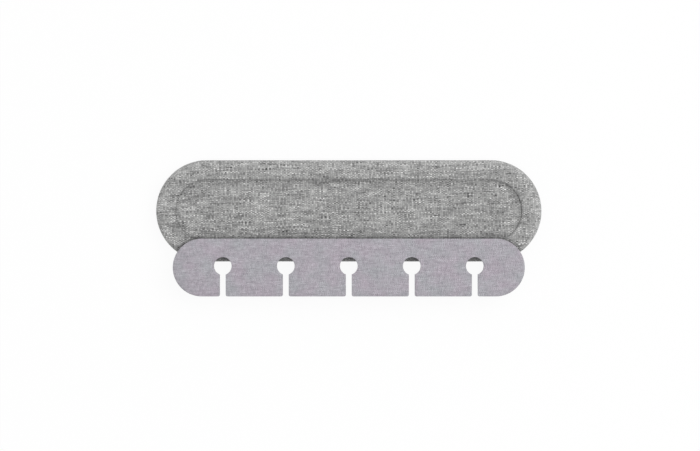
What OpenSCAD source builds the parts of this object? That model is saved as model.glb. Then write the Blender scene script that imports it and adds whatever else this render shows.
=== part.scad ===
// Desk cable holder: a cloth-covered pad that sticks down near a desk's edge, and a
// thin keyholed strip that stands out over its front edge.
// X runs along the pad, +Y to its back, +Z up. The origin is the middle of the sticky face.

/* [Pad] */
// Length of the pad over its rounded ends
base_len = 104.2; // [90:0.2:160]
// Width of the pad
base_w = 27.4; // [25:0.2:36]
// Height of the cloth-covered body
base_h = 5; // [4.2:0.1:8]
// Thickness of the pad's cloth
cover_t = 0.5; // [0.3:0.05:0.5]
// Radius of the rolled top edge
edge_r = 2.2; // [1.2:0.1:2.4]
// Radius where the cloth turns under
hem_r = 0.8; // [0.7:0.1:1.2]
// Width of cloth turned under, from the pad's side
turn_in = 5; // [4:0.1:5.4]
// Snips that let the turned cloth lie flat round each end
snips = 5; // [3:1:9]
// Width of a snip at the cloth's raw edge
snip_w = 0.9; // [0.4:0.1:1.4]
// Plain cloth between a snip's tip and the bend
snip_land = 0.6; // [0.3:0.1:1]

/* [Pressed recess] */
// From the pad's side to the middle of the recess wall
recess_inset = 5.5; // [5:0.1:7.5]
// Depth of the recess
recess_depth = 0.9; // [0.4:0.05:1.2]
// Radius at the foot of the recess wall
foot_r = 1.2; // [0.9:0.05:1.4]
// Radius at the top of the recess wall
lip_r = 0.6; // [0.6:0.05:1]

/* [Backing] */
// From the pad's side to the edge of the backing plate
plate_inset = 2.5; // [2:0.1:3]
// Thickness of the backing plate
plate_t = 1; // [0.8:0.05:1.5]
// Bevel round the plate's lower edge
plate_bevel = 0.25; // [0.1:0.05:0.3]
// Width of the plate's rim round the sticky layer
plate_rim = 0.6; // [0.4:0.1:1]
// Depth of the seat for the sticky layer
seat_depth = 0.3; // [0.2:0.05:0.4]
// Thickness of the sticky layer
adhesive_t = 0.9; // [0.6:0.05:1.5]
// Clearance round what lies in a seat
fit_gap = 0.1; // [0.05:0.05:0.2]

/* [Strip] */
// Length of the strip over its rounded ends
strip_len = 95; // [86:0.2:120]
// Width of the strip
strip_w = 15.6; // [14.8:0.1:20]
// How far the strip lies over the pad
strip_lap = 6.2; // [5.6:0.1:6.8]
// Thickness of the lining below
lining_t = 0.4; // [0.2:0.05:0.6]
// Thickness of the flexible sheet inside
sheet_t = 1.4; // [1:0.05:2]
// Thickness of the cloth on top
facing_t = 0.5; // [0.3:0.05:0.8]
// Width of the pressed shoulder round the edge
shoulder_w = 2.5; // [1:0.1:3]
// Drop of the pressed shoulder
shoulder_drop = 0.5; // [0.2:0.05:0.6]
// Thickness of the bonding film under the strip
film_t = 0.2; // [0.1:0.05:0.3]
// How far the film stays inside what it bonds
film_margin = 0.3; // [0.2:0.05:0.4]

/* [Keyholes] */
// Number of keyholes
keyholes = 5; // [3:1:5]
// Distance from one keyhole to the next
keyhole_pitch = 17; // [13:0.5:18]
// Diameter of the round eye
eye_d = 4.8; // [3.5:0.05:5]
// From the strip's front edge back to the middle of the eye
eye_setback = 8.2; // [7.6:0.1:8.8]
// Width of the slot
slot_w = 1.6; // [1:0.1:2.4]
// Radius where the slot opens at the strip's edge
mouth_r = 0.5; // [0.3:0.1:1]

/* [Hidden] */
$fn = 128;

// Steps in each small arc of a section
arc_steps = 8;
// How far a cutting shape runs past the face that it opens
past = 0.2;

// The pad in plan: half-width, and the straight run between the centres of its ends
side_r = base_w / 2;
base_run = base_len - base_w;

// Heights, from the sticky face up
plate_z = adhesive_t - seat_depth;
wrap_z = plate_z + plate_t;
core_z = wrap_z + cover_t;
rim_z = wrap_z + base_h;
floor_z = rim_z - recess_depth;
lining_z = rim_z + film_t;
sheet_z = lining_z + lining_t;
facing_z = sheet_z + sheet_t;
strip_top = facing_z + facing_t;

// The recess wall is an S of two arcs that share one tangent
wall_turn = acos(1 - recess_depth / (foot_r + lip_r));
wall_run = (foot_r + lip_r) * sin(wall_turn);
wall_foot = side_r - recess_inset - wall_run / 2;
wall_lip = wall_foot + wall_run;

// Distances out from the middle line to edges of the cloth, the plate and its seat
raw_edge = side_r - turn_in;
snip_tip = side_r - hem_r - snip_land;
plate_r = side_r - plate_inset;
boss_r = raw_edge - fit_gap;
seat_r = plate_r - plate_rim;
adhesive_r = seat_r - fit_gap;
land_out = side_r - edge_r;

// The strip in plan
strip_r = strip_w / 2;
strip_run = strip_len - strip_w;
strip_y = strip_lap - side_r - strip_r;
strip_front = strip_y - strip_r;
eye_y = strip_front + eye_setback;

// Points along an arc round c
function arc(c, r, from, to) =
    [for (i = [0 : arc_steps]) let (a = from + (to - from) * i / arc_steps) c + r * [cos(a), sin(a)]];

// A list of points backwards, and the same mirrored across the middle line
function back(points) = [for (i = [len(points) - 1 : -1 : 0]) points[i]];
function across(points) = [for (p = back(points)) [-p[0], p[1]]];

// Half section of a flat layer with square edges
function layer(r, low, high) = [[0, low], [r, low], [r, high], [0, high]];

// The pad's upper face from the middle of the recess to the pad's side, set in by t
function pad_top(t) = concat(
    [[0, floor_z - t]],
    arc([wall_foot, floor_z + foot_r], foot_r + t, -90, wall_turn - 90),
    arc([wall_lip, rim_z - lip_r], lip_r - t, wall_turn + 90, 90),
    arc([land_out, rim_z - edge_r], edge_r - t, 90, 0)
);

// The bend at the foot of the pad's side, set in by t
function pad_bend(t) = arc([side_r - hem_r, wrap_z + hem_r], hem_r - t, 0, -90);

// The strip's top from its middle line to its cut edge, with the pressed shoulder, at height z
function shoulder(z) = concat([[0, z]], [
    for (i = [0 : arc_steps]) let (a = 90 * i / arc_steps)
        [strip_r - shoulder_w * (1 - sin(a)), z - shoulder_drop * (1 - cos(a))]
]);

// A long shape with round ends, from half of its section. The section starts and ends
// on the middle line, so each end is a half turn and the rest is straight.
module pill(half_section, run) {
    for (side = [-1, 1])
        translate([side * run / 2, 0, 0])
            rotate(-90 * side)
                rotate_extrude(angle = 180)
                    polygon(half_section);
    rotate([90, 0, 90])
        linear_extrude(run, center = true)
            polygon(concat(half_section, across(half_section)));
}

// The round eyes, made wider by gap
module eyes(gap, low, high) {
    for (i = [0 : keyholes - 1])
        translate([(i - (keyholes - 1) / 2) * keyhole_pitch, eye_y, low])
            cylinder(d = eye_d + 2 * gap, h = high - low);
}

// One side of a slot, from the eye's middle to past the strip's edge, where it flares
function slot_side() = concat(
    [[slot_w / 2, 0]],
    arc([slot_w / 2 + mouth_r, mouth_r - eye_setback], mouth_r, 180, 270),
    [[slot_w / 2 + mouth_r, -eye_setback - past]]
);

module slots(low, high) {
    for (i = [0 : keyholes - 1])
        translate([(i - (keyholes - 1) / 2) * keyhole_pitch, eye_y, low])
            linear_extrude(high - low)
                polygon(concat(slot_side(), across(slot_side())));
}

// One layer of the strip: its outline with every keyhole cut through
module strip_layer(half_section) {
    difference() {
        translate([0, strip_y, 0])
            pill(half_section, strip_run);
        eyes(0, rim_z, strip_top + past);
        slots(rim_z, strip_top + past);
    }
}

// Removable sticky layer that holds the pad to the desk
module adhesive_pad() {
    color("dimgray")
        pill(layer(adhesive_r, 0, adhesive_t), base_run);
}

// Stiff backing plate: a rim round the sticky layer's seat below, and a boss above that
// fills the opening in the turned-in cloth and meets the core
module base_plate() {
    color("darkslategray")
        pill([
            [0, adhesive_t],
            [seat_r, adhesive_t],
            [seat_r, plate_z],
            [plate_r - plate_bevel, plate_z],
            [plate_r, plate_z + plate_bevel],
            [plate_r, wrap_z],
            [boss_r, wrap_z],
            [boss_r, core_z],
            [0, core_z]
        ], base_run);
}

// Moulded core with the recess in its top
module base_core() {
    color("gainsboro")
        pill(concat(pad_top(cover_t), pad_bend(cover_t), [[0, core_z]]), base_run);
}

// Dark heather cloth in one piece: pressed into the recess, rolled over the edge and
// turned under, where it is snipped round the ends
module base_cover() {
    color([0.61, 0.61, 0.61])
        difference() {
            pill(concat(
                pad_top(0),
                pad_bend(0),
                [[raw_edge, wrap_z], [raw_edge, core_z]],
                back(pad_bend(cover_t)),
                back(pad_top(cover_t))
            ), base_run);
            for (side = [-1, 1], i = [0 : snips - 1])
                translate([side * base_run / 2, 0, wrap_z - past])
                    rotate(90 - 90 * side + (i - (snips - 1) / 2) * 180 / snips)
                        linear_extrude(cover_t + 2 * past)
                            polygon([
                                [raw_edge - past, -snip_w / 2],
                                [snip_tip, 0],
                                [raw_edge - past, snip_w / 2]
                            ]);
        }
}

// Bonding film, cut to where the strip lies on the flat of the pad's rim
module bond_film() {
    color("whitesmoke")
        difference() {
            intersection() {
                pill(layer(land_out - film_margin, rim_z, lining_z), base_run);
                translate([0, strip_y, 0])
                    pill(layer(strip_r - film_margin, rim_z - past, lining_z + past), strip_run);
            }
            pill(layer(wall_lip + film_margin, rim_z - past, lining_z + past), base_run);
            eyes(film_margin, rim_z - past, lining_z + past);
        }
}

// Lining cloth under the strip
module strip_lining() {
    color("silver")
        strip_layer(layer(strip_r, lining_z, sheet_z));
}

// Flexible sheet that springs open at the slots
module strip_core() {
    color("lightgray")
        strip_layer(concat(shoulder(facing_z), [[strip_r, sheet_z], [0, sheet_z]]));
}

// Fine lilac-grey cloth on the strip's top
module strip_cover() {
    color([0.67, 0.655, 0.68])
        strip_layer(concat(shoulder(strip_top), back(shoulder(facing_z))));
}

adhesive_pad();
base_plate();
base_core();
base_cover();
bond_film();
strip_lining();
strip_core();
strip_cover();
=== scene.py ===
import math

import bmesh
import bpy
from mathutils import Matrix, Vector, noise
from mathutils.geometry import delaunay_2d_cdt


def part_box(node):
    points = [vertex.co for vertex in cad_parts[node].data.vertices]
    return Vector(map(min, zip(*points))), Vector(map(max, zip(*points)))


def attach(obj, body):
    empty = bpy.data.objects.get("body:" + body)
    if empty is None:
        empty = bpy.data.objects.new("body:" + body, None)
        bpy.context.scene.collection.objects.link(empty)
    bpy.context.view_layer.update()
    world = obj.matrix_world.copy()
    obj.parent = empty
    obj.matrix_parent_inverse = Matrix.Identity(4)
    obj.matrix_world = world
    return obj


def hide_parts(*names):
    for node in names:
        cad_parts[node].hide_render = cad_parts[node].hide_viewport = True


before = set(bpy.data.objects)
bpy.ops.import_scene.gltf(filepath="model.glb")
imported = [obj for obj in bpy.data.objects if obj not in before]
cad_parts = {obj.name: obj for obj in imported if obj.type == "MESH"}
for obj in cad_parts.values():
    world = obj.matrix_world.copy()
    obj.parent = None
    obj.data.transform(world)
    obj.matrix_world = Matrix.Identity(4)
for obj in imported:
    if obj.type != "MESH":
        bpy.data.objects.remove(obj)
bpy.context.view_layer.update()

MM = 0.001

# Camera. It looks straight down on the holder through a long lens, so that the sides of
# the pad don't show. The photograph's scale sets how wide it sees, and the pad's middle
# lies where the photograph has it.
PHOTO_PX = (700, 451)
PX_PER_MM = 3.708
PAD_MIDDLE_PX = (348.8, 210.8)
CAMERA_HEIGHT = 1.6
SEES_TO = 20.0

strip_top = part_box("strip_cover")[1].z
camera = bpy.data.objects.new("camera", bpy.data.cameras.new("camera"))
bpy.context.collection.objects.link(camera)
camera.location = (
    (PHOTO_PX[0] / 2 - PAD_MIDDLE_PX[0]) / PX_PER_MM * MM,
    (PAD_MIDDLE_PX[1] - PHOTO_PX[1] / 2) / PX_PER_MM * MM,
    CAMERA_HEIGHT,
)
view_width = PHOTO_PX[0] / PX_PER_MM * MM
camera.data.lens = camera.data.sensor_width * (CAMERA_HEIGHT - strip_top) / view_width
camera.data.clip_end = SEES_TO
bpy.context.scene.camera = camera


# Sticky layer. A soft gel pad in the seat under the plate, smooth and a little shiny,
# with its cut edges rounded over. It is made as the pad's cloth is: a half section,
# rounded at its corners, is swept round a pill.
GEL_GREY = (0.07, 0.07, 0.074, 1)
GEL_CORNER = 0.25 * MM
GEL_STEP = 0.3 * MM
PATH_STEP = 1.0 * MM
END_SEGMENTS = 60
BEND_SEGMENTS = 12
WELD = 0.02 * MM
PUCKERS = 23
PUCKER_GROWS = 0.8 * MM
PUCKER_FADES = 0.6 * MM
PUCKER_ROUNDS = 2.0 * MM
UNEVEN_SCALE = 160.0

base_low, base_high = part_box("base_cover")
side_r = (base_high.y - base_low.y) / 2
pad_run = (base_high.x - base_low.x) - 2 * side_r


def add_node(tree, kind, inputs=None, **settings):
    """A node with its settings. Each input is a value, or a socket to link from."""
    node = tree.nodes.new(kind)
    for name, value in settings.items():
        setattr(node, name, value)
    for key, value in (inputs or {}).items():
        if isinstance(value, bpy.types.NodeSocket):
            tree.links.new(value, node.inputs[key])
        else:
            node.inputs[key].default_value = value
    return node


def calculate(tree, operation, *values):
    """The result of a math node on numbers or sockets."""
    kind = "ShaderNodeMath"
    return add_node(tree, kind, dict(enumerate(values)), operation=operation).outputs[0]


def product(tree, first, *others):
    """The product of numbers or sockets, which are taken in turn."""
    for other in others:
        first = calculate(tree, "MULTIPLY", first, other)
    return first


def vectors(tree, operation, *values):
    """The result of a vector math node."""
    kind = "ShaderNodeVectorMath"
    return add_node(tree, kind, dict(enumerate(values)), operation=operation).outputs[0]


def scaled(tree, vector, factor):
    kind = "ShaderNodeVectorMath"
    return add_node(tree, kind, {0: vector, "Scale": factor}, operation="SCALE").outputs[0]


def length_of(tree, vector):
    kind = "ShaderNodeVectorMath"
    return add_node(tree, kind, {0: vector}, operation="LENGTH").outputs["Value"]


def combined(tree, x=0.0, y=0.0, z=0.0):
    return add_node(tree, "ShaderNodeCombineXYZ", {"X": x, "Y": y, "Z": z}).outputs[0]


def separated(tree, vector):
    return add_node(tree, "ShaderNodeSeparateXYZ", {0: vector}).outputs


def clamped(tree, value, low, high):
    return add_node(tree, "ShaderNodeClamp", {"Value": value, "Min": low, "Max": high}).outputs[0]


def ramped(tree, value, start, end, low=0.0, high=1.0, kind="LINEAR"):
    """The value's place between start and end, as a number between low and high."""
    sockets = {"Value": value, "From Min": start, "From Max": end, "To Min": low, "To Max": high}
    return add_node(tree, "ShaderNodeMapRange", sockets, interpolation_type=kind).outputs[0]


def rounded(tree, curve, radius, segments, step):
    """A curve with its corners rounded, and then cut into even steps."""
    bends = {"Curve": curve, "Radius": radius, "Count": segments, "Limit Radius": True}
    fillet = add_node(tree, "GeometryNodeFilletCurve", bends, mode="POLY")
    steps = {"Curve": fillet.outputs[0], "Length": step}
    return add_node(tree, "GeometryNodeResampleCurve", steps, mode="LENGTH").outputs[0]


def carried_round(tree, given):
    """The half section carried round the pill, and how far along it each point lies."""
    width = product(tree, given["Half width"], 2.0)
    sides = {"Width": calculate(tree, "ADD", given["Run"], width), "Height": width}
    box = add_node(tree, "GeometryNodeCurvePrimitiveQuadrilateral", sides).outputs[0]
    path = rounded(tree, box, given["Half width"], END_SEGMENTS, given["Path step"])
    upright = add_node(tree, "GeometryNodeSetCurveNormal", {"Curve": path}, mode="Z_UP")

    line = add_node(tree, "GeometryNodeMeshToCurve", {"Mesh": given["Geometry"]}).outputs[0]
    bend = add_node(tree, "GeometryNodeInputNamedAttribute", {"Name": "bend"}, data_type="FLOAT")
    section = rounded(tree, line, bend.outputs[0], BEND_SEGMENTS, given["Section step"])
    measured = add_node(tree, "GeometryNodeCaptureAttribute", {"Geometry": section}, domain="POINT")
    measured.capture_items.new("FLOAT", "reach")
    reach = add_node(tree, "GeometryNodeSplineParameter").outputs["Length"]
    tree.links.new(reach, measured.inputs["reach"])

    curves = {"Curve": upright.outputs[0], "Profile Curve": measured.outputs["Geometry"]}
    swept = add_node(tree, "GeometryNodeCurveToMesh", curves).outputs[0]
    weld = {"Geometry": swept, "Distance": WELD}
    closed = add_node(tree, "GeometryNodeMergeByDistance", weld).outputs[0]
    return closed, measured.outputs["reach"]


def hem_puckers(tree, given, z, past_end, away, outward):
    """How far the cloth moves out or in. Round the ends a turned hem has too much length,
    so it puckers there in small waves."""
    out_x, out_y, _ = separated(tree, outward)
    turn = calculate(tree, "ARCTAN2", out_y, out_x)
    ripple = calculate(tree, "SINE", product(tree, turn, float(PUCKERS)))
    inner = given["Flat inside"]
    outer = calculate(tree, "ADD", inner, PUCKER_GROWS)
    free = ramped(tree, length_of(tree, away), inner, outer, kind="SMOOTHSTEP")
    low = given["Pucker below"]
    under = ramped(tree, z, calculate(tree, "ADD", low, PUCKER_FADES), low, kind="SMOOTHSTEP")
    round_end = ramped(tree, past_end, 0.0, PUCKER_ROUNDS, kind="SMOOTHSTEP")
    return product(tree, ripple, free, under, round_end, given["Pucker"])


def pill_sweep_tree():
    """Carries a half section round a pill. The section is a line of points (distance out from
    the pad's middle line less the pad's half-width, height), each with a bend radius and a
    share of painted light, below 0 for painted shade and above 0 for a painted highlight.
    The mesh's UV map cloth_mm says where each point lies on the flat cloth."""
    tree = bpy.data.node_groups.new("pill_sweep", "GeometryNodeTree")
    tree.interface.new_socket("Geometry", in_out="INPUT", socket_type="NodeSocketGeometry")
    for name in (
        "Run", "Half width", "Path step", "Section step",
        "Unevenness", "Pucker", "Pucker below", "Flat inside",
    ):
        tree.interface.new_socket(name, in_out="INPUT", socket_type="NodeSocketFloat")
    tree.interface.new_socket("Material", in_out="INPUT", socket_type="NodeSocketMaterial")
    tree.interface.new_socket("Geometry", in_out="OUTPUT", socket_type="NodeSocketGeometry")
    given = tree.nodes.new("NodeGroupInput").outputs
    swept, reach = carried_round(tree, given)

    place = add_node(tree, "GeometryNodeInputPosition").outputs[0]
    x, y, z = separated(tree, place)
    end = product(tree, given["Run"], 0.5)
    spine = combined(tree, clamped(tree, x, product(tree, end, -1.0), end))
    away = vectors(tree, "SUBTRACT", combined(tree, x, y), spine)
    outward = vectors(tree, "NORMALIZE", away)
    flat = vectors(tree, "ADD", spine, scaled(tree, outward, reach))
    laid = add_node(
        tree,
        "GeometryNodeStoreNamedAttribute",
        {"Geometry": swept, "Name": "cloth_mm", "Value": scaled(tree, flat, 1 / MM)},
        data_type="FLOAT2",
        domain="CORNER",
    )

    past_end = calculate(tree, "SUBTRACT", calculate(tree, "ABSOLUTE", x), end)
    pucker = hem_puckers(tree, given, z, past_end, away, outward)
    bumps = {"Vector": place, "Scale": UNEVEN_SCALE, "Detail": 2.0}
    soft = add_node(tree, "ShaderNodeTexNoise", bumps).outputs[0]
    uneven = product(tree, calculate(tree, "SUBTRACT", soft, 0.5), given["Unevenness"])
    normal = add_node(tree, "GeometryNodeInputNormal").outputs[0]
    shift = scaled(tree, normal, calculate(tree, "ADD", pucker, uneven))
    moved = {"Geometry": laid.outputs[0], "Offset": shift}
    mesh = add_node(tree, "GeometryNodeSetPosition", moved).outputs[0]

    spare = {"Geometry": mesh, "Name": "bend"}
    mesh = add_node(tree, "GeometryNodeRemoveAttribute", spare).outputs[0]
    mesh = add_node(tree, "GeometryNodeSetShadeSmooth", {"Geometry": mesh}).outputs[0]
    mesh = add_node(tree, "GeometryNodeRealizeInstances", {"Geometry": mesh}).outputs[0]
    dress = {"Geometry": mesh, "Material": given["Material"]}
    mesh = add_node(tree, "GeometryNodeSetMaterial", dress).outputs[0]
    tree.links.new(mesh, tree.nodes.new("NodeGroupOutput").inputs[0])
    return tree


PILL_SWEEP = pill_sweep_tree()


def settle(piece):
    """Turns what the modifiers make of a piece into its plain mesh."""
    ready = piece.evaluated_get(bpy.context.evaluated_depsgraph_get())
    piece.data = bpy.data.meshes.new_from_object(ready)
    piece.modifiers.clear()


def swept_pill(name, section, material, **settings):
    """A piece of the pad from a half section, whose points run from the middle line round
    the top and down: each is a distance out, a height, a bend radius and a share of painted
    light, below 0 for painted shade and above 0 for a painted highlight."""
    line = bpy.data.meshes.new(name)
    places = [(out - side_r, -height, 0) for out, height, *_ in section]
    line.from_pydata(places, [(i, i + 1) for i in range(len(section) - 1)], [])
    for column, attribute in ((2, "bend"), (3, "painted_light")):
        layer = line.attributes.new(attribute, "FLOAT", "POINT")
        layer.data.foreach_set("value", [point[column] for point in section])
    piece = bpy.data.objects.new(name, line)
    bpy.context.collection.objects.link(piece)
    modifier = piece.modifiers.new("sweep", "NODES")
    modifier.node_group = PILL_SWEEP
    sizes = {"Run": pad_run, "Half width": side_r, "Path step": PATH_STEP, "Material": material}
    sizes.update(settings)
    for socket in PILL_SWEEP.interface.items_tree:
        if socket.in_out == "INPUT" and socket.name in sizes:
            modifier[socket.identifier] = sizes[socket.name]
    settle(piece)
    return piece


def plain_material(name, color, roughness, **sockets):
    """A material with its even values set on the shader's own sockets."""
    material = bpy.data.materials.new(name)
    material.use_nodes = True
    shader = material.node_tree.nodes["Principled BSDF"]
    shader.inputs["Base Color"].default_value = color
    shader.inputs["Roughness"].default_value = roughness
    for socket, value in sockets.items():
        shader.inputs[socket.replace("_", " ")].default_value = value
    return material


def grained_material(name, color, grain_mm, depth_mm, roughness, mottle=0.15):
    """An even material with a fine grain in its relief and a little of it in its colour."""
    material = plain_material(name, color, roughness)
    tree = material.node_tree
    places = add_node(tree, "ShaderNodeTexCoord").outputs["Object"]
    inputs = {"Vector": places, "Scale": 1 / (grain_mm * MM), "Detail": 3.0}
    grain = add_node(tree, "ShaderNodeTexNoise", inputs).outputs[0]
    tint = scaled(tree, tuple(color[:3]), ramped(tree, grain, 0.3, 0.7, 1 - mottle, 1 + mottle))
    raised = {"Height": grain, "Distance": depth_mm * MM}
    relief = add_node(tree, "ShaderNodeBump", raised).outputs[0]
    shader = tree.nodes["Principled BSDF"]
    tree.links.new(tint, shader.inputs["Base Color"])
    tree.links.new(relief, shader.inputs["Normal"])
    return material


gel_low, gel_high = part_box("adhesive_pad")
gel_r = (gel_high.y - gel_low.y) / 2
gel = swept_pill(
    "sticky_layer",
    [
        (0, gel_high.z, 0, 0),
        (gel_r, gel_high.z, GEL_CORNER, 0),
        (gel_r, gel_low.z, GEL_CORNER, 0),
        (0, gel_low.z, 0, 0),
    ],
    grained_material("tacky_gel", GEL_GREY, grain_mm=1.2, depth_mm=0.02, roughness=0.3),
    **{"Section step": GEL_STEP},
)
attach(gel, "root")
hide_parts("adhesive_pad")


# Backing plate. Moulded in dark plastic, matt, with a raised rim round the sticky layer.
# It hides the cloth's raw edge, and only its rim and its bevel show from below.
PLATE_GREY = (0.045, 0.045, 0.048, 1)


def finish_node(node, material):
    """Gives its material to a CAD node that shows as it is."""
    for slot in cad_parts[node].material_slots:
        slot.material = material


finish_node(
    "base_plate",
    grained_material(
        "backing_plastic", PLATE_GREY, grain_mm=0.25, depth_mm=0.015, roughness=0.55
    ),
)


# Core. A moulded block of dense closed-cell rubber, which gives the pad its height and
# the recess its shape. The cloth and the plate close it in, so none of it shows.
CORE_GREY = (0.5, 0.5, 0.5, 1)

finish_node(
    "base_core",
    grained_material("core_rubber", CORE_GREY, grain_mm=0.5, depth_mm=0.03, roughness=0.8),
)


# Dark heather cloth of the pad. One piece of plain weave, spun from light and dark fibres,
# so that each yarn changes shade along its length. It is glued to the core, pressed into
# the recess, rolled over the edge and turned under, where it is snipped round the ends.
RECESS_INSET = 5.5 * MM
RECESS_DEPTH = 0.9 * MM
FOOT_R = 1.2 * MM
LIP_R = 0.6 * MM
EDGE_R = 2.2 * MM
HEM_R = 0.8 * MM
TURN_IN = 5.0 * MM
SNIPS = 5
SNIP_W = 0.9 * MM
SNIP_LAND = 0.6 * MM
COVER_SHEET = 0.45 * MM
COVER_STEP = 0.16 * MM
COVER_UNEVEN = 0.08 * MM
COVER_PUCKER = 0.06 * MM

# Where painted shade lies on the recess's wall and lip and along its crease, and where a
# painted highlight lies on the rolled edge, and how much darker or lighter each paints it.
FOOT_FADES = 1.1 * MM
LIP_FADES = 0.3 * MM
HIGHLIGHT_FADES = 0.3 * MM
WALL_SHADED = -1.0
LIP_SHADED = -0.4
WALL_PAINTED_SHADE = 0.86
EDGE_LIT = 1.0
EDGE_PAINTED_HIGHLIGHT = 1.09
CREASE_PLACE = 0.8
CREASE_WIDTH_MM = 0.8
CREASE_DEEPENS_MM = 8.0
CREASE_STRAIGHT = 0.9
CREASE_SHADE = 0.64

# Any weave: how its yarns wander, how like its neighbour each yarn is, its fibres, and the
# height on a yarn below which it gets painted shade and above which a painted highlight.
WANDER_SCALE = 0.5
WANDER_PITCHES = 2.2
WARP_SEED = 3.1
WEFT_SEED = 47.9
WARP_LIKENESS = 0.13
WEFT_LIKENESS = 0.8
CLOUD_SCALE = 0.16
YARN_FLATNESS = 2.5
YARN_ARCH = 0.45
FIBRE_SEED = 9.7
FIBRE_LEAN = 0.35
FIBRE_LENGTH_MM = 0.35
FIBRE_WIDTH_MM = 0.05
FIBRE_SHADE = 0.18
FIBRE_RELIEF = 0.15
KEEPS_SHADE = 0.6

# Its weave.
HEATHER_PITCH_MM = (0.5, 0.3)
HEATHER_WARP = ((0.10, 0.10, 0.10, 1), (0.32, 0.32, 0.318, 1), (0.60, 0.60, 0.59, 1))
HEATHER_WEFT = ((0.05, 0.05, 0.05, 1), (0.42, 0.42, 0.416, 1), (0.83, 0.83, 0.82, 1))
HEATHER_CLOUDS = ((0.94, 0.94, 0.94, 1), (1.06, 1.06, 1.06, 1))


def blend(tree, share, first, second):
    """first where share is 0 and second where it is 1."""
    sockets = {0: share, 2: first, 3: second}
    return add_node(tree, "ShaderNodeMix", sockets, data_type="FLOAT").outputs[0]


def blend_colors(tree, share, first, second):
    sockets = {0: share, 6: first, 7: second}
    return add_node(tree, "ShaderNodeMix", sockets, data_type="RGBA").outputs[2]


def yarn_noise(tree, along, across, seed, stretch_mm, width, detail=3.0):
    """Noise drawn out along a yarn."""
    x = product(tree, along, 1 / stretch_mm)
    y = product(tree, across, 1 / width)
    place = combined(tree, x, y, seed)
    inputs = {"Vector": place, "Scale": 1.0, "Detail": detail, "Roughness": 0.6}
    return add_node(tree, "ShaderNodeTexNoise", inputs).outputs[0]


def shade_ramp(tree, value, shades):
    ramp = add_node(tree, "ShaderNodeValToRGB", {0: value})
    ramp.color_ramp.elements.new(0.5)
    for stop, color in zip(ramp.color_ramp.elements, shades):
        stop.color = color
    return ramp.outputs[0]


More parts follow.
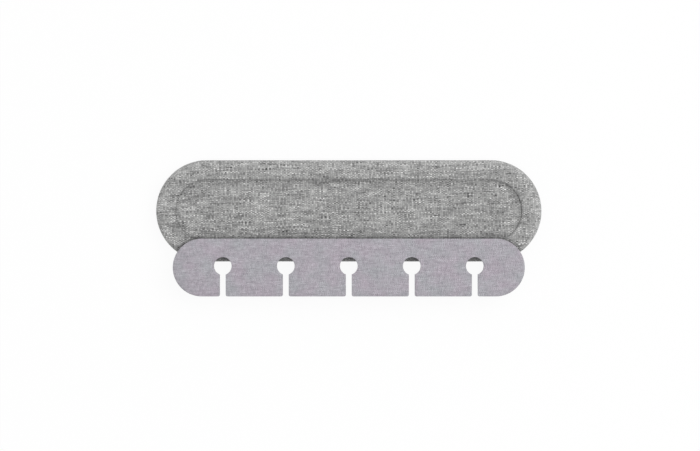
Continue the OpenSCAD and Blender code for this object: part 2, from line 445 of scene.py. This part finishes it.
def woven_material(
    name, pitch_mm, warp, weft, clouds, slubs_mm, spread, gap, relief_mm, roughness, sheen
):
    """Plain weave on the cloth's own flat coordinates. Warp runs along its width and weft
    along its length, over and under in turn. Each yarn has slubs of its own, which a small
    spread makes stronger, and the whole cloth is tinted in soft clouds. The gap is how much
    painted shade lies between the yarns, with a painted highlight on top of them."""
    material = plain_material(
        name, warp[1], roughness, Sheen_Weight=sheen, Sheen_Roughness=0.4, Specular_IOR_Level=0.15
    )
    tree = material.node_tree

    # The yarns wander a little. Each place is in one warp and one weft yarn.
    cloth = add_node(tree, "ShaderNodeUVMap", uv_map="cloth_mm").outputs[0]
    inputs = {"Vector": cloth, "Scale": WANDER_SCALE, "Detail": 4.0, "Roughness": 0.6}
    wander = add_node(tree, "ShaderNodeTexNoise", inputs).outputs["Color"]
    drift = vectors(tree, "SUBTRACT", wander, (0.5, 0.5, 0.5))
    cloth = vectors(tree, "ADD", cloth, scaled(tree, drift, WANDER_PITCHES * pitch_mm[0]))
    u, v, _ = separated(tree, cloth)
    cells = vectors(tree, "MULTIPLY", cloth, (1 / pitch_mm[0], 1 / pitch_mm[1], 0.0))
    warp_number, weft_number, _ = separated(tree, vectors(tree, "FLOOR", cells))
    in_warp, in_weft, _ = separated(tree, vectors(tree, "FRACTION", cells))
    both = calculate(tree, "ADD", warp_number, weft_number)
    weft_over = calculate(tree, "FLOORED_MODULO", both, 2.0)

    # The shade of the yarn that is on top there, and the clouds over it.
    shades = []
    for slub, along, number, seed, likeness, colors in (
        (slubs_mm[0], v, warp_number, WARP_SEED, WARP_LIKENESS, warp),
        (slubs_mm[1], u, weft_number, WEFT_SEED, WEFT_LIKENESS, weft),
    ):
        spun = yarn_noise(tree, along, number, seed, slub, likeness)
        shades.append(shade_ramp(tree, ramped(tree, spun, 0.5 - spread, 0.5 + spread), colors))
    inputs = {"Vector": cloth, "Scale": CLOUD_SCALE, "Detail": 3.0}
    cloud = ramped(tree, add_node(tree, "ShaderNodeTexNoise", inputs).outputs[0], 0.35, 0.65)
    tint = blend_colors(tree, cloud, *clouds)
    shade = vectors(tree, "MULTIPLY", blend_colors(tree, weft_over, *shades), tint)

    # That yarn's height. It is round across itself and dives under at both ends.
    from_warp = calculate(tree, "ABSOLUTE", calculate(tree, "SUBTRACT", in_warp, 0.5))
    from_weft = calculate(tree, "ABSOLUTE", calculate(tree, "SUBTRACT", in_weft, 0.5))
    across = product(tree, blend(tree, weft_over, from_warp, from_weft), 2.0)
    along = product(tree, blend(tree, weft_over, from_weft, from_warp), math.pi)
    girth = calculate(tree, "SUBTRACT", 1.0, calculate(tree, "POWER", across, YARN_FLATNESS))
    bow = calculate(tree, "COSINE", along)
    arch = calculate(tree, "MULTIPLY_ADD", bow, YARN_ARCH, 1.0 - YARN_ARCH)
    height = product(tree, girth, arch)

    # Its fibres, which lean as they are twisted, and the painted light: painted shade between
    # the yarns and a painted highlight on their tops, with the section's painted shade in the
    # recess and painted highlight on the rolled edge.
    along_mm = blend(tree, weft_over, v, u)
    across_mm = blend(tree, weft_over, u, v)
    lean = calculate(tree, "MULTIPLY_ADD", along_mm, FIBRE_LEAN, across_mm)
    fibres = yarn_noise(
        tree, along_mm, lean, FIBRE_SEED, FIBRE_LENGTH_MM, FIBRE_WIDTH_MM, detail=1.0
    )
    painted_light = add_node(tree, "ShaderNodeAttribute", attribute_name="painted_light").outputs["Fac"]
    light = product(
        tree,
        calculate(tree, "MULTIPLY_ADD", height, gap, 1.0 - KEEPS_SHADE * gap),
        ramped(tree, fibres, 0.25, 0.75, 1.0 - FIBRE_SHADE, 1.0 + FIBRE_SHADE),
        # Painted shade on the recess's wall and lip, and a painted highlight on the rolled edge.
        ramped(tree, painted_light, WALL_SHADED, 0.0, WALL_PAINTED_SHADE, 1.0),
        ramped(tree, painted_light, 0.0, EDGE_LIT, 1.0, EDGE_PAINTED_HIGHLIGHT),
    )
    shader = tree.nodes["Principled BSDF"]
    tree.links.new(scaled(tree, shade, light), shader.inputs["Base Color"])
    raised = calculate(tree, "MULTIPLY_ADD", fibres, FIBRE_RELIEF, height)
    relief = add_node(tree, "ShaderNodeBump", {"Height": raised, "Distance": relief_mm * MM})
    tree.links.new(relief.outputs[0], shader.inputs["Normal"])
    return material


def from_spine(tree, x, y, run):
    """How far a point lies from the middle line of a pill, which is as long as the run."""
    past = calculate(tree, "SUBTRACT", x, clamped(tree, x, -run / 2, run / 2))
    return length_of(tree, combined(tree, past, y))


def shade_cloth(material, share):
    """Darkens a woven material by a share that is 1 where it stays as it is."""
    tree = material.node_tree
    color = tree.nodes["Principled BSDF"].inputs["Base Color"]
    tree.links.new(scaled(tree, color.links[0].from_socket, share), color)


def paint_crease_shade(material, crease_mm):
    """Paints shade along the crease at the recess's foot on the flat cloth, darkest round the ends.
    """
    tree = material.node_tree
    u, v, _ = separated(tree, add_node(tree, "ShaderNodeUVMap", uv_map="cloth_mm").outputs[0])
    off = calculate(tree, "SUBTRACT", from_spine(tree, u, v, pad_run / MM), crease_mm)
    off = calculate(tree, "ABSOLUTE", off)
    past_end = calculate(tree, "SUBTRACT", calculate(tree, "ABSOLUTE", u), pad_run / 2 / MM)
    depth = ramped(tree, past_end, 0.0, CREASE_DEEPENS_MM, CREASE_STRAIGHT, CREASE_SHADE)
    shade = ramped(tree, off, 0.0, CREASE_WIDTH_MM / 2, depth, 1.0, kind="SMOOTHSTEP")
    shade_cloth(material, shade)


def snip(piece, raw_edge, tip, top):
    """Cuts V-shaped snips from the raw edge of the turned cloth up to their tips."""
    mesh = bmesh.new()
    mesh.from_mesh(piece.data)
    spread = SNIP_W / 2 / (tip - raw_edge)

    def near(face, end, ray, across):
        place = face.calc_center_median() - end
        if place.z >= top or abs(place.dot(across)) >= 2 * SNIP_W:
            return False
        return 0 < place.dot(ray) < tip

    for side in (-1, 1):
        end = Vector((side * pad_run / 2, 0, 0))
        for number in range(SNIPS):
            turn = (0 if side > 0 else math.pi) + (number - (SNIPS - 1) / 2) * math.pi / SNIPS
            ray = Vector((math.cos(turn), math.sin(turn), 0))
            across = Vector((-ray.y, ray.x, 0))
            point = end + ray * tip
            normals = [across * hand + ray * spread for hand in (-1, 1)]
            for normal in normals:
                faces = [face for face in mesh.faces if near(face, end, ray, across)]
                edges = dict.fromkeys(edge for face in faces for edge in face.edges)
                verts = dict.fromkeys(vert for face in faces for vert in face.verts)
                bmesh.ops.bisect_plane(
                    mesh,
                    geom=[*faces, *edges, *verts],
                    plane_co=point,
                    plane_no=normal,
                    dist=1e-8,
                )
            cut = []
            for face in mesh.faces:
                place = face.calc_center_median() - point
                if near(face, end, ray, across) and all(place.dot(n) < 0 for n in normals):
                    cut.append(face)
            bmesh.ops.delete(mesh, geom=cut, context="FACES")
    mesh.to_mesh(piece.data)
    mesh.free()


wall_turn = math.acos(1 - RECESS_DEPTH / (FOOT_R + LIP_R))
wall_run = (FOOT_R + LIP_R) * math.sin(wall_turn)
wall_foot = side_r - RECESS_INSET - wall_run / 2
foot_corner = wall_foot + FOOT_R * math.tan(wall_turn / 2)
lip_corner = wall_foot + wall_run - LIP_R * math.tan(wall_turn / 2)
floor_z = base_high.z - RECESS_DEPTH
raw_edge = side_r - TURN_IN
heather = woven_material(
    "dark_heather_cloth",
    HEATHER_PITCH_MM,
    HEATHER_WARP,
    HEATHER_WEFT,
    HEATHER_CLOUDS,
    slubs_mm=(1.6, 5.0),
    spread=0.22,
    gap=0.5,
    relief_mm=0.08,
    roughness=0.9,
    sheen=0.3,
)
# Painted shade along the crease at the recess's foot.
paint_crease_shade(heather, (wall_foot + FOOT_R * wall_turn * CREASE_PLACE) / MM)
# Each point's last number paints shade on the recess's wall and lip and a highlight on the edge.
cover = swept_pill(
    "pad_cloth",
    [
        (0, floor_z, 0, 0),
        (foot_corner - FOOT_FADES, floor_z, 0, 0),
        (foot_corner, floor_z, FOOT_R, WALL_SHADED),
        (lip_corner, base_high.z, LIP_R, LIP_SHADED),
        (lip_corner + LIP_FADES, base_high.z, 0, 0),
        (side_r - EDGE_R - HIGHLIGHT_FADES, base_high.z, 0, 0),
        (side_r, base_high.z, EDGE_R, EDGE_LIT),
        (side_r, base_low.z, HEM_R, 0),
        (raw_edge, base_low.z, 0, 0),
    ],
    heather,
    **{
        "Section step": COVER_STEP,
        "Unevenness": COVER_UNEVEN,
        "Pucker": COVER_PUCKER,
        "Pucker below": base_low.z + HEM_R,
        "Flat inside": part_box("base_plate")[1].y,
    },
)
snip(cover, raw_edge, side_r - HEM_R - SNIP_LAND, base_low.z + HEM_R / 2)
shell = cover.modifiers.new("cloth_thickness", "SOLIDIFY")
shell.thickness = COVER_SHEET
shell.offset = -1
settle(cover)
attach(cover, "root")
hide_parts("base_cover")


# Bonding film. A milky double-sided film between the pad's rim and the strip's lining. It
# stays inside the edges that it bonds. The strip's painted shadow darkens the pad's cloth in a
# thin line along the strip, down to the recess and no lower, and less a little further out.
FILM_WHITE = (0.75, 0.75, 0.74, 1)
SHADOW_LINE = 0.9 * MM
SHADOW_LINE_SHADE = 0.68
SHADOW_SPREAD = 2.8 * MM
SHADOW_SPREAD_SHADE = 0.82

strip_low, strip_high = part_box("strip_cover")
strip_r = (strip_high.y - strip_low.y) / 2
strip_run = (strip_high.x - strip_low.x) - 2 * strip_r
strip_y = (strip_high.y + strip_low.y) / 2


def paint_strip_shadow(material):
    """Paints the strip's shadow on the pad's cloth under and round it, darkest in a thin line."""
    tree = material.node_tree
    x, y, z = separated(tree, add_node(tree, "ShaderNodeTexCoord").outputs["Object"])
    off = from_spine(tree, x, calculate(tree, "SUBTRACT", y, strip_y), strip_run)
    low = floor_z - SHADOW_LINE
    for reach, shade in ((SHADOW_LINE, SHADOW_LINE_SHADE), (SHADOW_SPREAD, SHADOW_SPREAD_SHADE)):
        outward = ramped(tree, off, strip_r, strip_r + reach, shade, 1.0, kind="SMOOTHSTEP")
        downward = ramped(tree, z, floor_z, low, shade, 1.0, kind="SMOOTHSTEP")
        shade_cloth(material, calculate(tree, "MAXIMUM", outward, downward))


# The strip's painted shadow on the pad's cloth.
paint_strip_shadow(heather)
finish_node(
    "bond_film",
    grained_material(
        "milky_film", FILM_WHITE, grain_mm=0.8, depth_mm=0.01, roughness=0.35, mottle=0.04
    ),
)


# Strip lining. The same fine lilac-grey cloth on the underside of the strip, pressed thin.
# All layers of the strip are bonded and then cut in one stroke, with the keyholes, so
# their cut edges lie flush, a little crushed and rounded.
SHOULDER_W = 2.5 * MM
EYE_D = 4.8 * MM
EYE_SETBACK = 8.2 * MM
EYE_PITCH = 17.0 * MM
EYES = 5
SLOT_W = 1.6 * MM
MOUTH_R = 0.5 * MM
CRUSH = 0.14 * MM
CRUSH_STEPS = 3
MOUTH_STEPS = 6
SLOT_STEPS = 12
EYE_STEPS = 40
END_STEPS = 44
FILL_STEP = 0.5 * MM
LINING_UNEVEN = 0.02 * MM
UNEVEN_STEP = 5.0 * MM

# Its weave.
LILAC_PITCH_MM = (0.27, 0.25)
LILAC_WARP = ((0.29, 0.275, 0.30, 1), (0.43, 0.39, 0.43, 1), (0.56, 0.53, 0.57, 1))
LILAC_WEFT = ((0.28, 0.28, 0.30, 1), (0.42, 0.405, 0.44, 1), (0.55, 0.55, 0.58, 1))
LILAC_CLOUDS = ((1.015, 0.97, 1.005, 1), (0.96, 1.01, 0.995, 1))

front_y = strip_low.y
eye_y = front_y + EYE_SETBACK


def stretch(start, end, steps):
    """Points along a straight line, without its last."""
    return [Vector(start).lerp(Vector(end), i / steps) for i in range(steps)]


def arc(x, y, radius, start, end, steps):
    """Points along an arc, from one angle to another in degrees, without its last."""
    angles = [math.radians(start + (end - start) * i / steps) for i in range(steps)]
    return [Vector((x + radius * math.cos(a), y + radius * math.sin(a))) for a in angles]


def keyhole(middle, inset):
    """One keyhole's edge from left to right, as the front edge comes to it. The inset moves
    it into the cloth."""
    half_slot = SLOT_W / 2 + inset
    eye_r = EYE_D / 2 + inset
    corner = math.degrees(math.asin(half_slot / eye_r))
    neck_y = eye_y - eye_r * math.cos(math.radians(corner))
    mouth = MOUTH_R - inset
    mouth_x = SLOT_W / 2 + MOUTH_R
    mouth_y = front_y + MOUTH_R
    left, right = middle - half_slot, middle + half_slot
    return [
        *arc(middle - mouth_x, mouth_y, mouth, -90, 0, MOUTH_STEPS),
        *stretch((left, mouth_y), (left, neck_y), SLOT_STEPS),
        *arc(middle, eye_y, eye_r, -90 - corner, corner - 450, EYE_STEPS),
        *stretch((right, neck_y), (right, mouth_y), SLOT_STEPS),
        *arc(middle + mouth_x, mouth_y, mouth, 180, 270, MOUTH_STEPS),
    ]


def strip_outline(inset):
    """The strip's outline anticlockwise from its left end, with its keyholes, set in."""
    radius = strip_r - inset
    y = front_y + inset
    left = -strip_run / 2
    points = []
    for number in range(EYES):
        middle = (number - (EYES - 1) / 2) * EYE_PITCH
        mouth = middle - SLOT_W / 2 - MOUTH_R
        points += stretch((left, y), (mouth, y), max(2, round((mouth - left) / FILL_STEP)))
        points += keyhole(middle, inset)
        left = middle + SLOT_W / 2 + MOUTH_R
    end = strip_run / 2
    back = strip_y + radius
    points += stretch((left, y), (end, y), round((end - left) / FILL_STEP))
    points += arc(end, strip_y, radius, -90, 90, END_STEPS)
    points += stretch((end, back), (-end, back), round(strip_run / FILL_STEP))
    points += arc(-end, strip_y, radius, 90, 270, END_STEPS)
    return points


def filled(outline):
    """Points and triangles that fill an outline. Its own points come first."""
    rows = int(2 * strip_r / FILL_STEP)
    columns = int((strip_run + 2 * strip_r) / FILL_STEP)
    inside = []
    for row in range(rows):
        for column in range(columns):
            x = (column - columns / 2 + (row % 2) / 2) * FILL_STEP
            inside.append(Vector((x, front_y + (row + 0.5) * FILL_STEP)))
    count = len(outline)
    loop = [(i, (i + 1) % count) for i in range(count)]
    points, _, triangles, *_ = delaunay_2d_cdt(outline + inside, loop, [], 1, 1e-7)
    return points, triangles


def shoulder(point, drop):
    """How far the pressed shoulder lowers the strip's face at a point."""
    spine_x = min(max(point.x, -strip_run / 2), strip_run / 2)
    inside = strip_r - math.hypot(point.x - spine_x, point.y - strip_y)
    rise = 1 - min(max(inside / SHOULDER_W, 0), 1)
    return drop * (1 - math.sqrt(1 - rise * rise))


def strip_cloth(name, low, high, drop, uneven, material):
    """A layer of the strip's cloth, between two heights at its middle: rings that round its
    cut edges, and a filling of triangles above and below."""
    angles = [math.radians(90 * i / CRUSH_STEPS) for i in range(CRUSH_STEPS + 1)]
    bend = [(CRUSH * (1 - math.cos(a)), CRUSH * (1 - math.sin(a))) for a in angles]
    rings = [(inset, high, -off) for inset, off in reversed(bend)]
    rings += [(inset, low, off) for inset, off in bend]
    points, triangles = filled(strip_outline(CRUSH))

    def lifted(point, base, off=0.0):
        place = Vector((point.x, point.y, 0)) / UNEVEN_STEP + Vector((0, 0, base / MM))
        height = base - shoulder(point, drop) + off + uneven * noise.noise(place)
        return (point.x, point.y, height)

    mesh = bmesh.new()
    loops = [
        [mesh.verts.new(lifted(point, base, off)) for point in strip_outline(inset)]
        for inset, base, off in rings
    ]
    count = len(loops[0])
    for above, below in zip(loops, loops[1:]):
        for i in range(count):
            j = (i + 1) % count
            mesh.faces.new((above[i], below[i], below[j], above[j]))
    used = sorted({i for triangle in triangles for i in triangle})
    for ring, base, order in ((loops[0], high, 1), (loops[-1], low, -1)):
        corners = {
            i: ring[i] if i < count else mesh.verts.new(lifted(points[i], base)) for i in used
        }
        for triangle in triangles:
            mesh.faces.new([corners[i] for i in triangle[::order]])
    places = mesh.loops.layers.uv.new("cloth_mm")
    for face in mesh.faces:
        face.smooth = True
        for corner in face.loops:
            corner[places].uv = corner.vert.co.xy / MM
    data = bpy.data.meshes.new(name)
    mesh.to_mesh(data)
    mesh.free()
    data.materials.append(material)
    piece = bpy.data.objects.new(name, data)
    bpy.context.collection.objects.link(piece)
    return piece


lilac = woven_material(
    "lilac_grey_cloth",
    LILAC_PITCH_MM,
    LILAC_WARP,
    LILAC_WEFT,
    LILAC_CLOUDS,
    slubs_mm=(1.2, 3.0),
    spread=0.2,
    gap=0.35,
    relief_mm=0.04,
    roughness=0.85,
    sheen=0.2,
)
lining_low, lining_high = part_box("strip_lining")
lining = strip_cloth(
    "strip_lining_cloth", lining_low.z, lining_high.z, 0.0, LINING_UNEVEN, lilac
)
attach(lining, "root")
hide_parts("strip_lining")


# Flexible sheet. Matt grey rubber, which springs open at the slots and closes again.
# Only its cut edge shows, between the two cloths.
SHEET_GREY = (0.40, 0.39, 0.41, 1)

finish_node(
    "strip_core",
    grained_material("sheet_rubber", SHEET_GREY, grain_mm=0.15, depth_mm=0.02, roughness=0.65),
)


# Strip cloth. Fine lilac-grey plain weave, drawn tight over the sheet and pressed down
# round the outline into a soft shoulder.
SHOULDER_DROP = 0.5 * MM
FACING = 0.5 * MM
FACING_UNEVEN = 0.03 * MM

facing = strip_cloth(
    "strip_top_cloth",
    strip_high.z - FACING,
    strip_high.z,
    SHOULDER_DROP,
    FACING_UNEVEN,
    lilac,
)
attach(facing, "root")
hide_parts("strip_cover")


# Floor and light. A plain pale floor under a pale sky that is the same all round, and one
# broad lamp high on the holder's right, a little behind it. The camera sees the floor
# white, less the holder's shadow, and so do reflections.
FLOOR_SIZE = 8.0
FLOOR_GAP = 0.02 * MM
FLOOR_WHITE = (0.95, 0.95, 0.95, 1)
FLOOR_GLOW = 0.93
SKY_WHITE = (1, 1, 1, 1)
SKY_LEVEL = 0.62
LAMP_PLACE = Vector((0.42, 0.2, 1.0))
LAMP_SIZE = 0.8
LAMP_POWER = 6.0


def seen_directly(tree):
    """1 for what the camera, a reflection or clear glass sees, and 0 for what lights."""
    rays = add_node(tree, "ShaderNodeLightPath").outputs
    seen = calculate(tree, "MAXIMUM", rays["Is Camera Ray"], rays["Is Glossy Ray"])
    return calculate(tree, "MAXIMUM", seen, rays["Is Transmission Ray"])


def floor_material():
    """Matt and pale, and part of it white by itself where it is seen directly."""
    material = bpy.data.materials.new("pale_floor")
    material.use_nodes = True
    tree = material.node_tree
    tree.nodes.clear()
    matt = add_node(tree, "ShaderNodeBsdfDiffuse", {"Color": FLOOR_WHITE}).outputs[0]
    glow = add_node(tree, "ShaderNodeEmission", {"Strength": 1.0}).outputs[0]
    share = product(tree, seen_directly(tree), FLOOR_GLOW)
    both = add_node(tree, "ShaderNodeMixShader", {0: share, 1: matt, 2: glow}).outputs[0]
    add_node(tree, "ShaderNodeOutputMaterial", {"Surface": both})
    return material


def pale_sky():
    """An even sky, which is white where it is seen directly."""
    world = bpy.data.worlds.new("pale_sky")
    world.use_nodes = True
    tree = world.node_tree
    tree.nodes.clear()
    strength = blend(tree, seen_directly(tree), SKY_LEVEL, 1.0)
    sockets = {"Color": SKY_WHITE, "Strength": strength}
    sky = add_node(tree, "ShaderNodeBackground", sockets).outputs[0]
    add_node(tree, "ShaderNodeOutputWorld", {"Surface": sky})
    return world


half = FLOOR_SIZE / 2
floor_corners = [(x * half, y * half, -FLOOR_GAP) for x, y in ((-1, -1), (1, -1), (1, 1), (-1, 1))]
floor_mesh = bpy.data.meshes.new("floor")
floor_mesh.from_pydata(floor_corners, [], [(0, 1, 2, 3)])
floor_mesh.materials.append(floor_material())
floor = bpy.data.objects.new("floor", floor_mesh)
bpy.context.collection.objects.link(floor)

bpy.context.scene.world = pale_sky()

lamp = bpy.data.objects.new("soft_lamp", bpy.data.lights.new("soft_lamp", "AREA"))
bpy.context.collection.objects.link(lamp)
lamp.data.size = LAMP_SIZE
lamp.data.energy = LAMP_POWER
lamp.location = LAMP_PLACE
lamp.rotation_mode = "QUATERNION"
lamp.rotation_quaternion = LAMP_PLACE.to_track_quat("Z", "Y")
bpy.context.scene.view_settings.view_transform = "Standard"
